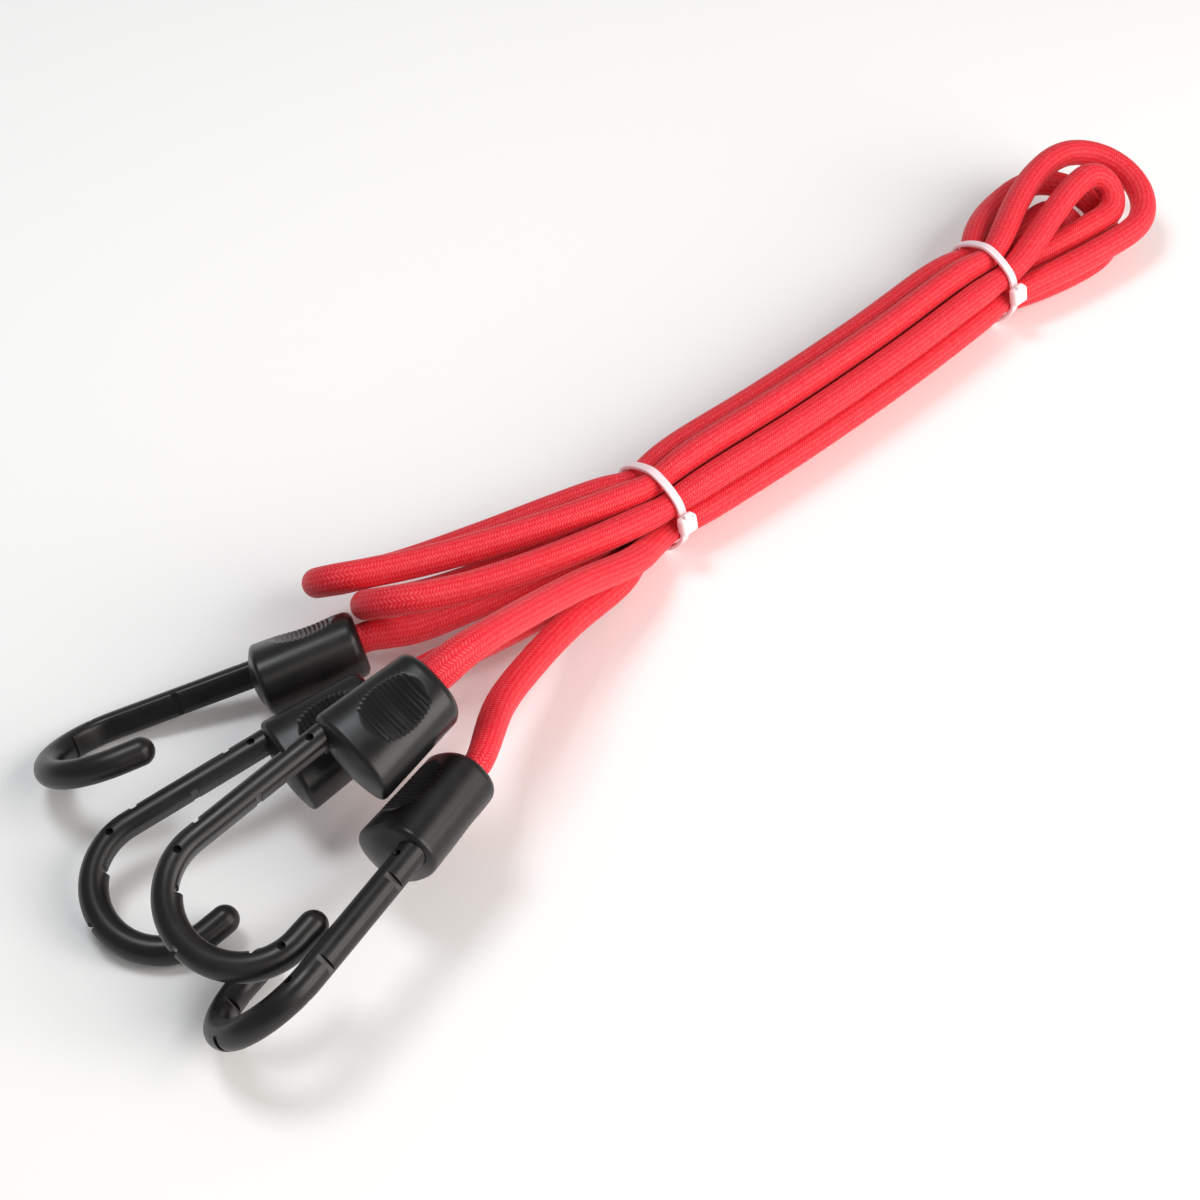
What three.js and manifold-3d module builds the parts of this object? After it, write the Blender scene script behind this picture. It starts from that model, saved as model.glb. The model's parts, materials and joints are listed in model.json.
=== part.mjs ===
// A pair of elastic luggage cords with coated steel hooks, folded into one hank held by two cable ties.
// Millimetres, +Z up. +X runs along the hank, from the hooks to the far folds.
import * as THREE from 'three';
import { mergeVertices } from 'three/addons/utils/BufferGeometryUtils.js';
import Module from 'manifold-3d';

const wasm = await Module();
wasm.setup();

// Driving dimensions
const clearance = 0.3; // between pieces that bear on each other
const cordDiameter = 8;
const cordGap = 0.6; // between neighbouring runs of cord
const cordSides = 10;
const tieSqueeze = 0.5; // taken off a cord's radius under a tie
const tieSqueezeReach = 8; // how far along the cord the squeeze fades
const swellReach = 13; // the same for a swelling in front of a barrel
const runBow = -2; // sideways bow of the hank between its ties

const tieSpacing = 141;
const tieWidth = 2.5;
const tieThickness = 1.1;
const tieHeadAcross = 4.7;
const tieHeadAlong = 4.6;
const tieHeadHeight = 3.2;
const tieHeadChamfer = 0.7;
const tieStub = 0.9; // trimmed strap end that stands out of the head

const coatDiameter = 7.3; // plastic over the hook's wire
const coatInnerReach = 2.5; // from the wire's axis to the flat inside the shank and the start of the bow
const wireDiameter = 3.6;
const wireHeadDiameter = 5; // upset end that locks the wire in the barrel
const wireHeadLength = 1.5;
const bareWire = 2.8; // from the start of the wire's head to the coat
const shankLength = 38; // from the barrel to where the bow starts
const bowRadius = 17;
const bowSweep = 188; // degrees
const tipLength = 8.6;
const coatTipWall = 1.6; // plastic past the wire's end
const shankOffset = 5.2; // from the cord's axis to the shank's
const coatSides = 10;
const wireSides = 6;

const barrelLength = 29;
const barrelShankWall = 0.9; // plastic outside the shank's socket
const barrelShankSideAtCord = 8.5; // from the cord's axis
const barrelBowSideAtCord = 11.8; // from the cord's axis, on the side that the bow turns to
const barrelBowSideAtHook = 16;
const barrelThicknessAtCord = 18.4;
const barrelThicknessAtHook = 19.4;
const barrelSquareness = 2.4; // exponent of the oval: 2 is an ellipse
const barrelSkew = 0.08; // fuller on the bow's side
const barrelEdge = 2.6; // rounding of both ends
const barrelDome = 0.8; // crown of the end that the shank leaves
const recessDepth = 2.6; // dished thumb grip on both faces
const recessLength = 18.6;
const recessSideRadius = 20; // its floor rises to both sides
const recessCentre = 12.6; // from the cord's end
const ribCount = 11;
const ribPitch = 1.25;
const ribHeight = 0.45;
const barrelPoints = 20;

const ferruleWall = 0.6;
const ferruleLength = 9;
const mouthDepth = 6.2; // snug stretch of the cord's bore before the ferrule's pocket
const boreSides = 12;
const innerWeb = 1.4; // plastic between the ferrule's pocket and the wire's head

// Cuts left in the coat by the pins that held the wire in the mould: distance from the barrel along
// the shank, or degrees round the bow, on the inner or outer side.
const notchWidth = 1.6;
const notchDepth = 0.8;
const pinGap = 0.1; // from the wire to the floor of a cut in the flat, which bares it
const shankNotches = [{ at: 9, outer: true }, { at: 20.8, outer: false }, { at: 35, outer: true }];
const bowNotches = [{ at: 46.5, outer: false }, { at: 91, outer: true }, { at: 150, outer: false }];

// Each cord end: the barrel's mouth, the way the hook points, and the route of its tail from the near tie
// to the straight lead into the mouth
const ends = [
  { name: '1', slot: 'core', mouth: [-92.8, 13.4, 18.2], yaw: 155.5, pitch: -9.6, roll: 34,
    swell: 0, lead: 2, route: [[-22, -0.8, 14], [-45, 0.8, 15.8], [-66, 4, 16.6], [-80, 7.8, 16.8]] },
  { name: '2', slot: 4, mouth: [-106.4, -9.8, 24.6], yaw: 169, pitch: -10, roll: -17,
    swell: 0, lead: 12, route: [[-22, 0.3, 4.7], [-45, -6.6, 10.2]] },
  { name: '3', slot: 2, mouth: [-103.8, -29, 46.4], yaw: 179, pitch: -9, roll: -19,
    swell: 0.8, lead: 12, route: [[-20, -13.9, 16.2], [-48, -18.8, 29.2]] },
  { name: '4', slot: 3, mouth: [-106.6, -45.4, 27.7], yaw: 194, pitch: -2, roll: -134,
    swell: -0.5, lead: 4,
    route: [[-22, -10.4, 7], [-46.3, -16.2, 12.5], [-64, -22.3, 17.2], [-84, -31.2, 22.8]] },
];

// Folds, measured from the tie that they leave: the pair of runs that each one joins, the centre of its
// round end, the arm from there to the first run's leg, the way the round end points, and how each leg
// sets off
const nearFolds = {
  a: { slots: [0, 6], centre: [-82, 30.4, 20.7], arm: [-1.2, -6, 6.4], axis: [-0.92, 0.36, 0.16],
    start: [[-22, 2.2, 2.2], [-18, 5, 3.2]], end: 24 },
  b: { slots: [1, 5], centre: [-79.8, 9.2, 27.1], arm: [-0.3, -7.9, 7.3], axis: [-0.92, 0.29, 0.26],
    start: [[-20, 0.7, 2.2], [-24, 0.8, -2.6]], end: 20 },
};
const farFolds = {
  a: [
    { slots: [2, 0], centre: [54, 1, 17], arm: [0, -16.3, -5], axis: [1, 0, 0],
      start: [[10, -3, 2], [10, 1.2, 3]], end: 20 },
    { slots: [6, 3], centre: [43, 5.1, 9], arm: [0, 16.2, 4.7], axis: [1, 0, 0],
      start: [[9, 6, 1.4], [10, -1.5, -0.5]], end: 18 },
  ],
  b: [
    { slots: ['core', 1], centre: [52, -1.6, 18.6], arm: [0, -5, -4.6], axis: [1, 0, 0],
      start: [[14, -1, -2], [12, -0.5, 2.5]], end: 14 },
    { slots: [5, 4], centre: [44, 5.8, 6.2], arm: [0, 5.9, 1.9], axis: [1, 0, 0],
      start: [[9, 0.9, -0.9], [9, -0.9, -0.3]], end: 14 },
  ],
};
const routesDrawnFor = 8.6; // the cord's diameter and gap that these routes fit

// Sizes that follow from the driving dimensions
const cordRadius = cordDiameter / 2;
const tiedRadius = cordRadius - tieSqueeze;
const coatRadius = coatDiameter / 2;
const ringSlots = 7; // runs round one in the middle
const halfSlot = Math.PI / ringSlots;
const freeRing = (cordRadius + cordGap / 2) / Math.sin(halfSlot);
const tiedRing = (tiedRadius + cordGap / 2) / Math.sin(halfSlot);
const tiedHeight = tiedRing * Math.cos(halfSlot) + tiedRadius + clearance + tieThickness;
const freeHeight = freeRing * Math.cos(halfSlot) + cordRadius + clearance;
const tieStations = [0, tieSpacing];
const ferruleBore = cordRadius + clearance;
const ferruleRadius = ferruleBore + ferruleWall;
const pocketEnd = mouthDepth + ferruleLength + 2 * clearance;
const tailInBarrel = pocketEnd - 2 * clearance;
const wireStart = pocketEnd + innerWeb;
const hookBase = wireStart + bareWire;
const flatEnd = bowNotches[0].at; // degrees round the bow
const shankEnd = barrelLength + shankLength;
const bowCentreY = bowRadius - shankOffset;
const barrelShankSideAtHook = shankOffset + coatRadius + clearance + barrelShankWall;

const spread = (cordDiameter + cordGap) / routesDrawnFor; // a thicker cord opens its routes out

const vec = (list) => new THREE.Vector3(...list);
const routed = (list) => vec(list).multiplyScalar(spread);
const degrees = THREE.MathUtils.degToRad;
const lerp = THREE.MathUtils.lerp;

const finishes = {
  cord: { color: 0xd81f2c, roughness: 0.75, metalness: 0 },
  blackPlastic: { color: 0x17171a, roughness: 0.42, metalness: 0 },
  steel: { color: 0x9a9c9f, roughness: 0.35, metalness: 1 },
  nylon: { color: 0xf3ecec, roughness: 0.4, metalness: 0 },
};

const piece = (name, geometry, finish) => {
  const mesh = new THREE.Mesh(geometry, new THREE.MeshStandardMaterial(finishes[finish]));
  mesh.name = name;
  return mesh;
};

// Closed meshes and solids

const meshOf = (points, triangles) => {
  const geometry = new THREE.BufferGeometry();
  const positions = points.flatMap((p) => [p.x, p.y, p.z]);
  geometry.setAttribute('position', new THREE.Float32BufferAttribute(positions, 3));
  geometry.setIndex(triangles);
  geometry.computeVertexNormals();
  return geometry;
};

const toSolid = (geometry) => {
  const bare = geometry.clone();
  bare.deleteAttribute('normal');
  bare.deleteAttribute('uv');
  const merged = mergeVertices(bare, 1e-4);
  return new wasm.Manifold(new wasm.Mesh({
    numProp: 3,
    vertProperties: new Float32Array(merged.attributes.position.array),
    triVerts: new Uint32Array(merged.index.array),
  }));
};

const fromSolid = (solid) => {
  const mesh = solid.getMesh();
  const geometry = new THREE.BufferGeometry();
  geometry.setAttribute('position', new THREE.Float32BufferAttribute(mesh.vertProperties, 3));
  geometry.setIndex(Array.from(mesh.triVerts));
  geometry.computeVertexNormals();
  return geometry;
};

// Rings of points square to a path, turned as little as possible from one to the next
const ringsAlong = (path, radii, sides) => {
  const tangents = path.map((p, i) => {
    const before = path[Math.max(i - 1, 0)];
    const after = path[Math.min(i + 1, path.length - 1)];
    return after.clone().sub(before).normalize();
  });
  const across = new THREE.Vector3(0, 0, 1).cross(tangents[0]).normalize();
  return path.map((p, i) => {
    if (i > 0) {
      const turn = new THREE.Quaternion().setFromUnitVectors(tangents[i - 1], tangents[i]);
      across.applyQuaternion(turn).normalize();
    }
    const up = tangents[i].clone().cross(across);
    return Array.from({ length: sides }, (_, k) => {
      const angle = ((k + 0.5) * 2 * Math.PI) / sides;
      return p.clone()
        .addScaledVector(across, radii[i] * Math.cos(angle))
        .addScaledVector(up, radii[i] * Math.sin(angle));
    });
  });
};

const wallBetween = (count, sides, base, inward) => {
  const triangles = [];
  for (let i = 0; i < count - 1; i += 1) {
    for (let k = 0; k < sides; k += 1) {
      const a = base + i * sides + k;
      const b = base + i * sides + ((k + 1) % sides);
      const [c, d] = [a + sides, b + sides];
      triangles.push(...(inward ? [a, c, b, b, c, d] : [a, b, c, b, d, c]));
    }
  }
  return triangles;
};

const capFan = (first, sides, facesBack) => {
  const triangles = [];
  for (let k = 1; k < sides - 1; k += 1) {
    triangles.push(first, first + (facesBack ? k + 1 : k), first + (facesBack ? k : k + 1));
  }
  return triangles;
};

const rimBetween = (outer, inner, sides) => {
  const triangles = [];
  for (let k = 0; k < sides; k += 1) {
    const next = (k + 1) % sides;
    const [a, b, c, d] = [outer + k, outer + next, inner + k, inner + next];
    triangles.push(a, c, b, b, c, d);
  }
  return triangles;
};

const rod = (rings) => {
  const sides = rings[0].length;
  const last = (rings.length - 1) * sides;
  const triangles = wallBetween(rings.length, sides, 0, false);
  triangles.push(...capFan(0, sides, true), ...capFan(last, sides, false));
  return meshOf(rings.flat(), triangles);
};

// A tube open at its near end; its bore stops short of the far end
const pipe = (outer, inner) => {
  const sides = outer[0].length;
  const base = outer.length * sides;
  const innerLast = base + (inner.length - 1) * sides;
  const triangles = wallBetween(outer.length, sides, 0, false);
  triangles.push(...wallBetween(inner.length, sides, base, true), ...rimBetween(0, base, sides));
  triangles.push(...capFan(base - sides, sides, false), ...capFan(innerLast, sides, true));
  return meshOf([...outer.flat(), ...inner.flat()], triangles);
};

// Cords: eight runs lie seven round one, drawn in under each tie

const squeezeAt = (x) => {
  const shares = tieStations.map((tie) => Math.exp(-(((x - tie) / tieSqueezeReach) ** 2)));
  return Math.max(...shares);
};

const radiusAt = (point) => cordRadius - tieSqueeze * squeezeAt(point.x);

const slotPlace = (slot, x) => {
  const squeeze = squeezeAt(x);
  const height = lerp(freeHeight, tiedHeight, squeeze);
  const bow = x > 0 && x < tieSpacing ? runBow * Math.sin((Math.PI * x) / tieSpacing) ** 2 : 0;
  if (slot === 'core') {
    return new THREE.Vector3(x, bow, height);
  }
  const ring = lerp(freeRing, tiedRing, squeeze);
  const angle = Math.PI / 2 + 2 * halfSlot * slot;
  return new THREE.Vector3(x, bow + ring * Math.cos(angle), height + ring * Math.sin(angle));
};

const runStations = [0.05, 0.12, 0.35, 0.65, 0.88, 0.95].map((share) => share * tieSpacing);
const splitGap = clearance / 2; // half of the joint between a tail and its hank, under the near tie
const strapEdge = tieWidth / 2 + 2 * clearance;

// A run stays straight under a strap
const underTie = (slot, tie, x) => slotPlace(slot, tie).setX(tie + x);

const run = (slot, towardsFar) => {
  const points = [
    underTie(slot, 0, strapEdge),
    ...runStations.map((x) => slotPlace(slot, x)),
    underTie(slot, tieSpacing, -strapEdge),
  ];
  return towardsFar ? points : points.reverse();
};

// One fold: a leg out from the first slot, a half circle, and a leg back to the second slot
const fold = ({ slots, centre, arm, axis, start, end }, tie) => {
  const middle = routed(centre).add(new THREE.Vector3(tie, 0, 0));
  const reach = routed(arm);
  const onward = vec(axis);
  onward.addScaledVector(reach, -onward.dot(reach) / reach.lengthSq()).normalize();
  const leg = (index, side) => {
    const from = underTie(slots[index], tie, Math.sign(onward.x) * strapEdge);
    const tip = middle.clone().addScaledVector(reach, side);
    const curve = new THREE.CubicBezierCurve3(
      from,
      from.clone().add(routed(start[index])),
      tip.clone().addScaledVector(onward, -end * spread),
      tip,
    );
    return [0, 0.13, 0.32, 0.55, 0.8].map((t) => curve.getPoint(t));
  };
  const steps = 8;
  const bend = Array.from({ length: steps + 1 }, (_, i) => {
    const angle = (Math.PI * i) / steps;
    return middle.clone()
      .addScaledVector(reach, Math.cos(angle))
      .addScaledVector(onward, reach.length() * Math.sin(angle));
  });
  return [...leg(0, 1), ...bend, ...leg(1, -1).reverse()];
};

const hankPath = (cord) => {
  const [firstFar, secondFar] = farFolds[cord];
  const [first, second] = firstFar.slots;
  const [third, fourth] = secondFar.slots;
  return [
    underTie(first, 0, splitGap), ...run(first, true), ...fold(firstFar, tieSpacing),
    ...run(second, false), ...fold(nearFolds[cord], 0), ...run(third, true),
    ...fold(secondFar, tieSpacing), ...run(fourth, false), underTie(fourth, 0, splitGap),
  ];
};

const pointing = ({ yaw, pitch }) => new THREE.Vector3(1, 0, 0)
  .applyEuler(new THREE.Euler(0, -degrees(pitch), degrees(yaw), 'ZYX'));

const tailPath = (end) => {
  const mouth = routed(end.mouth);
  const along = pointing(end);
  const inside = [mouthDepth, tailInBarrel].map((depth) => mouth.clone().addScaledVector(along, depth));
  const free = new THREE.CatmullRomCurve3([
    underTie(end.slot, 0, -strapEdge),
    slotPlace(end.slot, -tieSqueezeReach),
    ...end.route.map(routed),
    mouth.clone().addScaledVector(along, -end.lead),
    mouth,
  ]);
  return [underTie(end.slot, 0, -splitGap), ...free.getSpacedPoints(10), ...inside];
};

// A tail may swell or narrow in front of the barrel that grips it
const tailRadii = (path, end) => {
  const mouth = routed(end.mouth);
  return path.map((p, i) => {
    const bulge = i < path.length - 3 ? Math.exp(-((p.distanceTo(mouth) / swellReach) ** 2)) : 0;
    return radiusAt(p) + end.swell * bulge;
  });
};

// Least gap of a path to itself, from points more than three diameters apart along it
const leastGap = (path) => {
  const curve = new THREE.CatmullRomCurve3(path);
  const points = curve.getSpacedPoints(600);
  const skip = Math.ceil((3 * cordDiameter * 600) / curve.getLength());
  let least = Infinity;
  points.forEach((p, i) => {
    points.slice(i + skip).forEach((q) => {
      least = Math.min(least, p.distanceTo(q) - radiusAt(p) - radiusAt(q));
    });
  });
  return least;
};

// Hook ends, each in its own frame: the mouth at the origin, the hook along +X, the bow turning to +Y

const hookPath = (start, tipShort) => {
  const points = [start, barrelLength, barrelLength + shankLength / 2, shankEnd]
    .map((x) => new THREE.Vector3(x, -shankOffset, 0));
  const steps = 12;
  const even = Array.from({ length: steps }, (_, i) => (bowSweep * (i + 1)) / steps);
  const stations = [...even.filter((angle) => Math.abs(angle - flatEnd) > 4), flatEnd - 2.5, flatEnd];
  stations.sort((a, b) => a - b).map(degrees).forEach((angle) => {
    const x = shankEnd + bowRadius * Math.sin(angle);
    const y = bowCentreY - bowRadius * Math.cos(angle);
    points.push(new THREE.Vector3(x, y, 0));
  });
  const onward = new THREE.Vector3(Math.cos(degrees(bowSweep)), Math.sin(degrees(bowSweep)), 0);
  points.push(points[points.length - 1].clone().addScaledVector(onward, tipLength - tipShort));
  return { points, onward };
};

// Keeps a point of the coat's skin behind the flat on the inner side of the shank and of the bow's start
const behindFlat = (p) => {
  const arm = new THREE.Vector3(p.x - shankEnd, p.y - bowCentreY, 0);
  if (arm.x <= 0) return p.y > 0 ? p : p.setY(Math.min(p.y, coatInnerReach - shankOffset));
  if (Math.atan2(arm.x, -arm.y) > degrees(flatEnd - 1)) return p;
  const short = bowRadius - coatInnerReach - arm.length();
  return short > 0 ? p.addScaledVector(arm.normalize(), short) : p;
};

const coatGeometry = () => {
  const { points, onward } = hookPath(hookBase, coatRadius);
  const radii = points.map(() => coatRadius);
  const tip = points[points.length - 1];
  [35, 65, 85].forEach((angle) => {
    points.push(tip.clone().addScaledVector(onward, coatRadius * Math.sin(degrees(angle))));
    radii.push(coatRadius * Math.cos(degrees(angle)));
  });
  const bore = hookPath(hookBase, coatTipWall - clearance).points;
  const boreRadii = bore.map(() => wireDiameter / 2 + clearance);
  const skin = ringsAlong(points, radii, coatSides).map((ring) => ring.map(behindFlat));
  const coat = toSolid(pipe(skin, ringsAlong(bore, boreRadii, coatSides)));
  const wireSide = wireDiameter / 2 + pinGap;
  const roundSide = coatRadius - notchDepth;
  const cutter = (place, outer, floor) => {
    const box = new THREE.BoxGeometry(notchWidth, coatDiameter, coatDiameter);
    box.translate(0, (outer ? -1 : 1) * (floor + coatRadius), 0);
    return toSolid(box.applyMatrix4(place));
  };
  const shankCuts = shankNotches.map(({ at, outer }) => {
    const place = new THREE.Matrix4().makeTranslation(barrelLength + at, -shankOffset, 0);
    return cutter(place, outer, outer ? roundSide : wireSide);
  });
  const bowCuts = bowNotches.map(({ at, outer }) => {
    const place = new THREE.Matrix4().makeTranslation(shankEnd, bowCentreY, 0)
      .multiply(new THREE.Matrix4().makeRotationZ(degrees(at)))
      .multiply(new THREE.Matrix4().makeTranslation(0, -bowRadius, 0));
    return cutter(place, outer, !outer && at <= flatEnd ? wireSide : roundSide);
  });
  return fromSolid([...shankCuts, ...bowCuts].reduce((solid, cut) => solid.subtract(cut), coat));
};

const wireGeometry = () => {
  const { points } = hookPath(wireStart, coatTipWall);
  const head = [wireStart, wireStart + wireHeadLength, wireStart + wireHeadLength + clearance]
    .map((x) => new THREE.Vector3(x, -shankOffset, 0));
  const path = [...head, ...points.slice(1)];
  const radii = path.map((p, i) => (i < 2 ? wireHeadDiameter : wireDiameter) / 2);
  return rod(ringsAlong(path, radii, wireSides));
};

const halfThickness = (x) => lerp(barrelThicknessAtCord, barrelThicknessAtHook, x / barrelLength) / 2;

// The recess's floor above the middle plane at a station along the barrel, with its ribs
const recessFloor = (x, groove) => {
  const away = (x - recessCentre) / (recessLength / 2);
  const dish = Math.abs(away) < 1 ? recessDepth * (1 - away ** 2) : 0;
  return halfThickness(x) - dish - (groove ? ribHeight : 0);
};

const barrelSection = (x, inset, groove) => {
  const bowSide = lerp(barrelBowSideAtCord, barrelBowSideAtHook, x / barrelLength);
  const shankSide = lerp(barrelShankSideAtCord, barrelShankSideAtHook, x / barrelLength);
  const middle = (bowSide - shankSide) / 2;
  const halfWidth = (bowSide + shankSide) / 2 - inset;
  const thickness = halfThickness(x) - inset;
  const limit = recessFloor(x, groove);
  const rounded = (value) => Math.sign(value) * Math.abs(value) ** (2 / barrelSquareness);
  return Array.from({ length: barrelPoints }, (_, k) => {
    const angle = ((k + 0.5) * 2 * Math.PI) / barrelPoints;
    const side = rounded(Math.cos(angle));
    const rise = thickness * rounded(Math.sin(angle)) * (1 + barrelSkew * (side - 1));
    const across = halfWidth * side;
    const floor = limit + across ** 2 / (2 * recessSideRadius);
    const height = Math.sign(rise) * Math.min(Math.abs(rise), floor);
    return new THREE.Vector3(x, middle + across, height);
  });
};

const turnedX = (profile, sides) => new THREE.LatheGeometry(
  profile.map(([radius, x]) => new THREE.Vector2(radius, x)),
  sides,
).rotateZ(-Math.PI / 2);

const barrelGeometry = () => {
  const edge = [0, 30, 60, 90].map(degrees).map((angle) => ({
    x: barrelEdge * (1 - Math.cos(angle)),
    inset: barrelEdge * (1 - Math.sin(angle)),
  }));
  const ribStart = recessCentre - (ribCount * ribPitch) / 2;
  const ribEnd = ribStart + ribCount * ribPitch;
  const recessEnd = recessCentre + recessLength / 2;
  const ribs = Array.from({ length: 2 * ribCount + 1 }, (_, i) => (
    barrelSection(ribStart + (i * ribPitch) / 2, 0, i % 2 === 0)
  ));
  const sections = [
    ...edge.map(({ x, inset }) => barrelSection(x, inset, false)),
    barrelSection((barrelEdge + ribStart) / 2, 0, false),
    ...ribs,
    barrelSection((ribEnd + recessEnd) / 2, 0, false),
    barrelSection(recessEnd, 0, false),
    ...edge.reverse().map(({ x, inset }) => barrelSection(barrelLength - x, inset, false)),
  ];
  const points = sections.flat();
  const crown = points.length;
  const crownY = (barrelBowSideAtHook - barrelShankSideAtHook) / 2;
  points.push(new THREE.Vector3(barrelLength + barrelDome, crownY, 0));
  const last = crown - barrelPoints;
  const triangles = wallBetween(sections.length, barrelPoints, 0, false);
  triangles.push(...capFan(0, barrelPoints, true));
  for (let k = 0; k < barrelPoints; k += 1) {
    triangles.push(last + k, last + ((k + 1) % barrelPoints), crown);
  }
  const cordBore = turnedX([
    [0, -1], [cordRadius + clearance, -1], [cordRadius + clearance, mouthDepth],
    [ferruleRadius + clearance, mouthDepth], [ferruleRadius + clearance, pocketEnd], [0, pocketEnd],
  ], boreSides);
  const socketEnd = barrelLength + barrelDome + 1;
  const socketStart = wireStart - clearance;
  const [headRadius, shankRadius] = [wireHeadDiameter / 2 + clearance, coatRadius + clearance];
  const step = hookBase - clearance;
  const socket = turnedX([
    [0, socketStart], [headRadius, socketStart], [headRadius, step],
    [shankRadius, step], [shankRadius, socketEnd], [0, socketEnd],
  ], boreSides).translate(0, -shankOffset, 0);
  const flat = new THREE.BoxGeometry(socketEnd - step, coatDiameter, 2 * coatDiameter)
    .translate((step + socketEnd) / 2, coatInnerReach + clearance - shankOffset + coatRadius, 0);
  const body = toSolid(meshOf(points, triangles));
  return fromSolid(body.subtract(toSolid(cordBore)).subtract(toSolid(socket).subtract(toSolid(flat))));
};

const ferruleGeometry = () => {
  const start = mouthDepth + clearance;
  return turnedX([
    [ferruleBore, start], [ferruleRadius, start], [ferruleRadius, start + ferruleLength],
    [ferruleBore, start + ferruleLength], [ferruleBore, start],
  ], boreSides);
};

const hookEnd = (end) => {
  const group = new THREE.Group();
  group.position.copy(routed(end.mouth));
  group.rotation.set(degrees(end.roll), -degrees(end.pitch), degrees(end.yaw), 'ZYX');
  group.add(
    piece(`barrel_${end.name}`, barrelGeometry(), 'blackPlastic'),
    piece(`hook_coat_${end.name}`, coatGeometry(), 'blackPlastic'),
    piece(`hook_wire_${end.name}`, wireGeometry(), 'steel'),
    piece(`ferrule_${end.name}`, ferruleGeometry(), 'steel'),
  );
  return group;
};

// Cable ties: a strap drawn tight round the seven outer runs, flat between them, and its locking head

const strapOutline = (path, offset) => {
  for (let slot = 0; slot < ringSlots; slot += 1) {
    const angle = Math.PI / 2 + 2 * halfSlot * slot;
    path.absarc(
      tiedRing * Math.cos(angle), tiedRing * Math.sin(angle), tiedRadius + clearance + offset,
      angle - halfSlot, angle + halfSlot, false,
    );
  }
  path.closePath();
  return path;
};

const tieGeometry = () => {
  const band = strapOutline(new THREE.Shape(), tieThickness);
  band.holes.push(strapOutline(new THREE.Path(), 0));
  const strapShape = { depth: tieWidth, bevelEnabled: false, curveSegments: 3 };
  const strap = new THREE.ExtrudeGeometry(band, strapShape);
  strap.translate(0, 0, -tieWidth / 2);
  const headAngle = Math.PI / 2 + 3 * halfSlot; // on the flat between the first two slots past the top
  const flat = tiedRing * Math.cos(halfSlot) + tiedRadius + clearance;
  const [w, h, c] = [tieHeadAcross / 2, tieHeadAlong / 2, tieHeadChamfer];
  const face = new THREE.Shape([
    [-w + c, -h], [w - c, -h], [w, -h + c], [w, h - c], [w - c, h], [-w + c, h], [-w, h - c], [-w, -h + c],
  ].map(([x, y]) => new THREE.Vector2(x, y)));
  const head = new THREE.ExtrudeGeometry(face, { depth: tieHeadHeight, bevelEnabled: false });
  const stub = new THREE.BoxGeometry(tieWidth, tieStub * 2, tieThickness);
  stub.translate(0, -h, tieThickness * 2);
  // The head stands on the strap: its face's width runs across the strap, its height along it
  const seat = new THREE.Matrix4().makeRotationZ(headAngle)
    .multiply(new THREE.Matrix4().makeTranslation(flat + tieThickness / 4, 0, 0))
    .multiply(new THREE.Matrix4().makeBasis(
      new THREE.Vector3(0, 0, 1), new THREE.Vector3(0, 1, 0), new THREE.Vector3(-1, 0, 0),
    ));
  const turnedOut = new THREE.Matrix4().makeRotationY(Math.PI);
  const parts = [head, stub].map((shape) => toSolid(shape.applyMatrix4(turnedOut).applyMatrix4(seat)));
  const tie = parts.reduce((solid, part) => solid.add(part), toSolid(strap));
  const upright = new THREE.Matrix4().makeBasis(
    new THREE.Vector3(0, 1, 0), new THREE.Vector3(0, 0, 1), new THREE.Vector3(1, 0, 0),
  );
  return fromSolid(tie).applyMatrix4(upright);
};

// Assembly

const bungee = new THREE.Group();
Object.keys(farFolds).forEach((cord) => {
  const path = hankPath(cord);
  bungee.add(piece(`cord_${cord}_hank`, rod(ringsAlong(path, path.map(radiusAt), cordSides)), 'cord'));
  console.log(`cord_${cord}_hank: least gap to itself ${leastGap(path).toFixed(2)} mm`);
});
ends.forEach((end) => {
  const path = tailPath(end);
  const tail = rod(ringsAlong(path, tailRadii(path, end), cordSides));
  bungee.add(piece(`cord_tail_${end.name}`, tail, 'cord'));
  bungee.add(hookEnd(end));
});
tieStations.forEach((x, i) => {
  const tie = piece(`cable_tie_${i + 1}`, tieGeometry(), 'nylon');
  tie.position.set(x, 0, tiedHeight);
  bungee.add(tie);
});

// The origin is under the middle of the whole part
bungee.updateMatrixWorld(true);
const box = new THREE.Box3().setFromObject(bungee, true);
bungee.position.set(-(box.min.x + box.max.x) / 2, -(box.min.y + box.max.y) / 2, -box.min.z);

export default bungee;
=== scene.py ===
import json
import math
import bmesh
import bpy
import numpy as np
from mathutils import Matrix, Vector


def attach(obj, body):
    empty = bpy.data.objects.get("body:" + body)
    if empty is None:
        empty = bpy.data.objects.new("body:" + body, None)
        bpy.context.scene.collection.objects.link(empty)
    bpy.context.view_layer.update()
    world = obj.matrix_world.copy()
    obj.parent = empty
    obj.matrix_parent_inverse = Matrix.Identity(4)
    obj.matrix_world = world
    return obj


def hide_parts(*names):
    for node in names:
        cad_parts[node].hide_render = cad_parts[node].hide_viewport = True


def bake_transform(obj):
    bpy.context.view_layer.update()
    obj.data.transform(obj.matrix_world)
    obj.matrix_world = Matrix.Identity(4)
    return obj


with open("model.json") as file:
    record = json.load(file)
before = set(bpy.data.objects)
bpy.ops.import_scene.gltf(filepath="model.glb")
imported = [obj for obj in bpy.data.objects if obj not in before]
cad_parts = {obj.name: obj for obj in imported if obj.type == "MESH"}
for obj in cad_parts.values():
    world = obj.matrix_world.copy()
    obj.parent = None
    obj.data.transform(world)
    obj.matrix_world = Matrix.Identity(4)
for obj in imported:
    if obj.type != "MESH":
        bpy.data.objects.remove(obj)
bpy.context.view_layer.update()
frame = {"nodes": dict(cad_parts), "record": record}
mm = 0.001

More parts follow.
